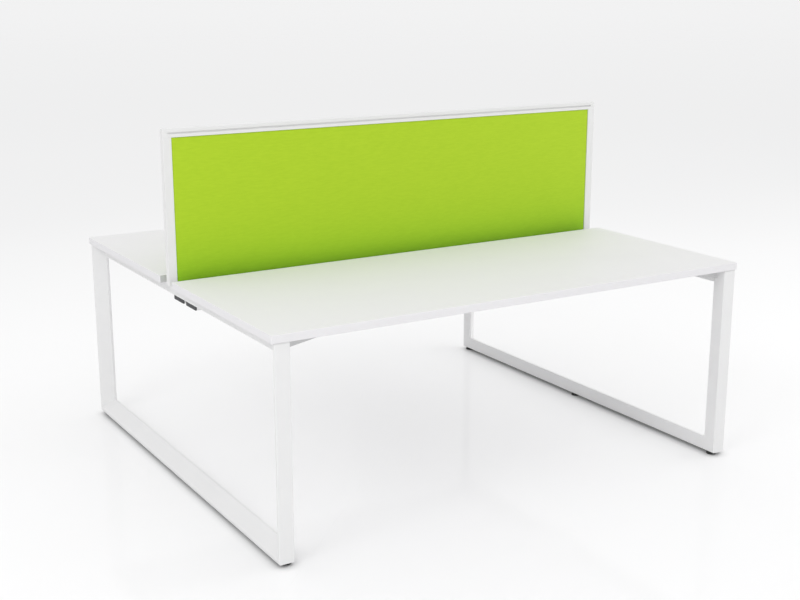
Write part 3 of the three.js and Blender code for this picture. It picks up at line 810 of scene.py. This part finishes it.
# the face stands out by a quarter circle's height over the roll at every edge, plus rib waves up the face and a
# slow slack wave; each row runs along the face and back along the core
def makeFabric(row, shape, look):
    node = f"screen_fabric_{row}"
    low, high = boxOf(node)
    out = rows[row]
    core, face = (low[1], high[1]) if out > 0 else (-high[1], -low[1])
    width, tall = high[0] - low[0], high[2] - low[2]
    edgeShare = 1 - np.cos(np.linspace(0.0, np.pi / 2, 6))
    middle = np.arange(shape["crossRib"], width - shape["crossRib"], shape["crossRib"])
    x = np.concatenate([shape["roll"] * edgeShare, middle, width - shape["roll"] * edgeShare[::-1]])
    ribStep = look["rib"] / shape["ribRows"]
    inner = np.arange(2 * shape["roll"], tall - 2 * shape["roll"], ribStep)
    z = np.concatenate([shape["roll"] * edgeShare, inner, tall - shape["roll"] * edgeShare[::-1]])
    rollOf = lambda place, end: np.clip(np.minimum(place, end - place) / shape["roll"], 0.0, 1.0)
    rise = lambda share: np.sqrt(1 - (1 - share) ** 2)
    full = rise(rollOf(z, tall))[:, None] * rise(rollOf(x, width))[None, :]
    ribs = np.sin(2 * np.pi * (z + low[2]) / look["rib"])[:, None] * shape["ribDepth"]
    slack = np.sin(7.0 * x)[None, :] * np.sin(11.0 * z)[:, None] * shape["slack"]
    proud = face - core - shape["ribDepth"] - shape["slack"]
    y = core + proud - shape["rollDepth"] * (1 - full) + (ribs + slack) * full
    front = np.stack(np.broadcast_arrays(low[0] + x[None, :], out * y, low[2] + z[:, None]), axis=-1)
    behind = front[:, [-1, 0], :].copy()
    behind[..., 1] = out * (core + shape["backGap"])
    sheet = makePiece(f"cloth_{row}", [skin(np.concatenate([front, behind], axis=1))], node)


for row in rows:
    makeFabric(row, fabricShape, clothLook)
print("screen fabric made")

# floor: one wide pale plane that keeps the desk's shadow
floorLook = dict(reach=150.0, colour=(0.93, 0.93, 0.934), glow=0.33, nearGlow=(1.0, 1.0, 1.0),
                 farGlow=(0.815, 0.815, 0.817), nearReach=1.8, farReach=5.4, contact=0.22, contactPower=2.2,
                 closeShade=(0.4, 0.4, 0.402), closeReach=0.035, rough=0.06, specular=0.32)


def layFloor(look):
    reach = look["reach"]
    mesh = bpy.data.meshes.new("floor")
    mesh.from_pydata([(-reach, -reach, 0), (reach, -reach, 0), (reach, reach, 0), (-reach, reach, 0)], [], [(0, 1, 2, 3)])
    floor = bpy.data.objects.new("floor", mesh)
    bpy.context.scene.collection.objects.link(floor)
    material, tree, shader, place = newMaterial("floor")
    # painted shade: the floor's colour darkens close under the pieces
    close = addNode(tree, "ShaderNodeAmbientOcclusion", {"Distance": look["closeReach"]}, samples=8)
    paintedCloseShade = mixColour(tree, close.outputs["AO"], rgba(look["closeShade"]), rgba(look["colour"]))
    tree.links.new(paintedCloseShade, shader.inputs["Base Color"])  # shade gathers close under the pieces
    shader.inputs["Roughness"].default_value = look["rough"]
    shader.inputs["Specular IOR Level"].default_value = look["specular"]
    rays = tree.nodes.new("ShaderNodeLightPath").outputs
    seen = mathNode(tree, "MAXIMUM", rays["Is Camera Ray"], rays["Is Glossy Ray"])
    seen = mathNode(tree, "MAXIMUM", seen, rays["Is Transmission Ray"])
    # painted shadow: the glow shown to the camera and in reflections fades where pieces stand near
    clear = addNode(tree, "ShaderNodeAmbientOcclusion", {"Distance": look["contact"]}, samples=8)
    clear = mathNode(tree, "POWER", clear.outputs["AO"], look["contactPower"])
    share = mathNode(tree, "MULTIPLY", mathNode(tree, "MULTIPLY", seen, clear), look["glow"])
    away = addNode(tree, "ShaderNodeVectorMath", {0: place}, operation="LENGTH").outputs["Value"]
    fade = addNode(tree, "ShaderNodeMapRange", {"Value": away, "From Min": look["nearReach"],
                                                "From Max": look["farReach"]}, interpolation_type="SMOOTHSTEP")
    tone = mixColour(tree, fade.outputs[0], rgba(look["nearGlow"]), rgba(look["farGlow"]))
    glow = addNode(tree, "ShaderNodeEmission", {"Color": tone})
    mix = addNode(tree, "ShaderNodeMixShader", {0: share, 1: shader.outputs[0], 2: glow.outputs[0]})
    tree.links.new(mix.outputs[0], tree.nodes["Material Output"].inputs["Surface"])
    floor.data.materials.append(material)


layFloor(floorLook)

# light: an even white room, with faint broad lamps that tell the faces apart
roomLight = dict(colour=(1.0, 1.0, 1.0), strength=0.94, seen=(0.905, 0.905, 0.908))
lamps = {
    "leftHigh": dict(place=(-5.0, -2.5, 4.5), aim=(-0.9, 0.2, 0.35), size=(2.5, 2.5), watts=66.0),
    "frontLow": dict(place=(-2.0, -8.0, 0.5), aim=(-0.3, 0.0, 0.4), size=(5.0, 0.9), watts=52.0),
    "rightLow": dict(place=(6.5, -1.0, 1.3), aim=(0.9, 0.0, 0.1), size=(4.0, 1.6), watts=60.0),
    "rightHigh": dict(place=(4.5, -1.5, 4.5), aim=(0.9, -0.2, 0.2), size=(2.5, 2.5), watts=24.0),
    "backHigh": dict(place=(0.5, 5.5, 3.6), aim=(0.0, 0.5, 0.5), size=(5.0, 3.0), watts=5.0),
}


def lightRoom(room):
    world = bpy.data.worlds.new("room")
    world.use_nodes = True
    bpy.context.scene.world = world
    tree = world.node_tree
    ground = tree.nodes["Background"]
    ground.inputs["Color"].default_value = rgba(room["colour"])
    ground.inputs["Strength"].default_value = room["strength"]
    shown = addNode(tree, "ShaderNodeBackground", {"Color": rgba(room["seen"]), "Strength": 1.0})
    rays = tree.nodes.new("ShaderNodeLightPath").outputs
    seen = mathNode(tree, "MAXIMUM", rays["Is Camera Ray"], rays["Is Glossy Ray"])
    seen = mathNode(tree, "MAXIMUM", seen, rays["Is Transmission Ray"])
    mix = addNode(tree, "ShaderNodeMixShader", {0: seen, 1: ground.outputs[0], 2: shown.outputs[0]})
    tree.links.new(mix.outputs[0], tree.nodes["World Output"].inputs["Surface"])


def hangLamp(name, lamp):
    data = bpy.data.lights.new(name, "AREA")
    data.shape = "RECTANGLE"
    data.size, data.size_y = lamp["size"]
    data.energy = lamp["watts"]
    light = bpy.data.objects.new(name, data)
    light.location = lamp["place"]
    toward = np.array(lamp["aim"]) - np.array(lamp["place"])
    flat = math.hypot(toward[0], toward[1])
    light.rotation_euler = (math.atan2(flat, -toward[2]), 0.0, math.atan2(toward[1], toward[0]) - math.pi / 2)
    light.visible_camera = False  # no lamp shows in views from other sides
    bpy.context.scene.collection.objects.link(light)


lightRoom(roomLight)
for name, lamp in lamps.items():
    hangLamp(name, lamp)
print("floor and light set")
